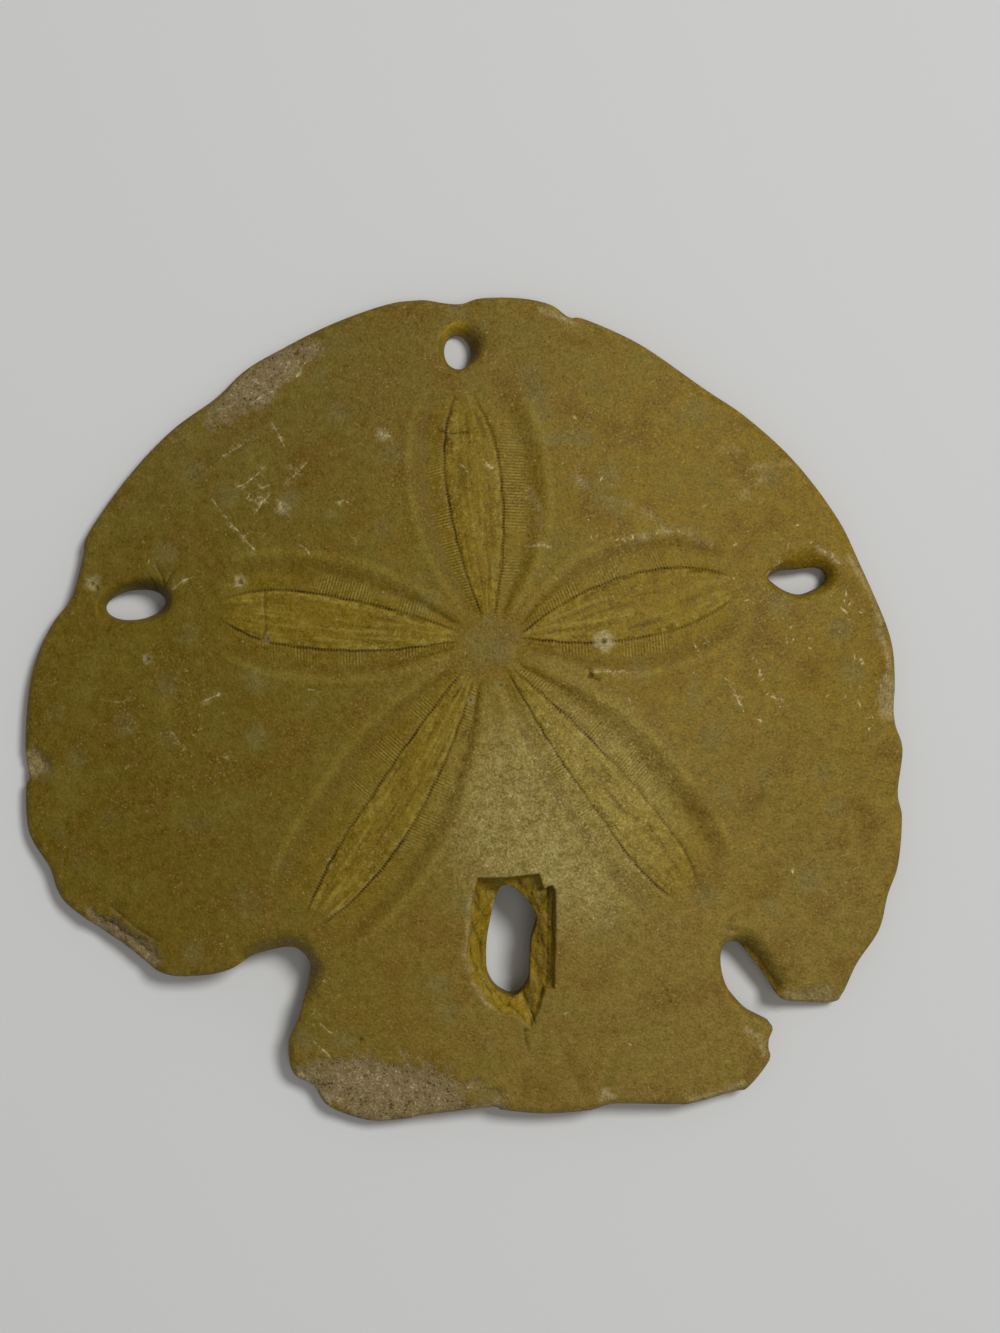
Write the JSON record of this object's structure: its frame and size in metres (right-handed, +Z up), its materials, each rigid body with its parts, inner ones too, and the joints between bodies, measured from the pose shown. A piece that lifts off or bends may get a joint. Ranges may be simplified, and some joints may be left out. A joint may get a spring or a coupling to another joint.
{
  "type": "sand dollar",
  "caption": "Bare fossil-like test of a keyhole sand dollar: a thin domed plate with five petals, slots through it, two open back slots and a broken rim, lying flat.",
  "frame": {"origin": "middle of the bounding box on the flat underside's plane", "axes": "+Z up out of the domed side, +Y towards the small front slot, +X to the right seen from above"},
  "size_m": [0.1002, 0.0934, 0.0107],
  "materials": {
    "test": "mineralised calcite, olive brown to ochre, waxy satin with a fine grain"
  },
  "bodies": {
    "root": {"sand_dollar": "test"}
  },
  "joints": []
}
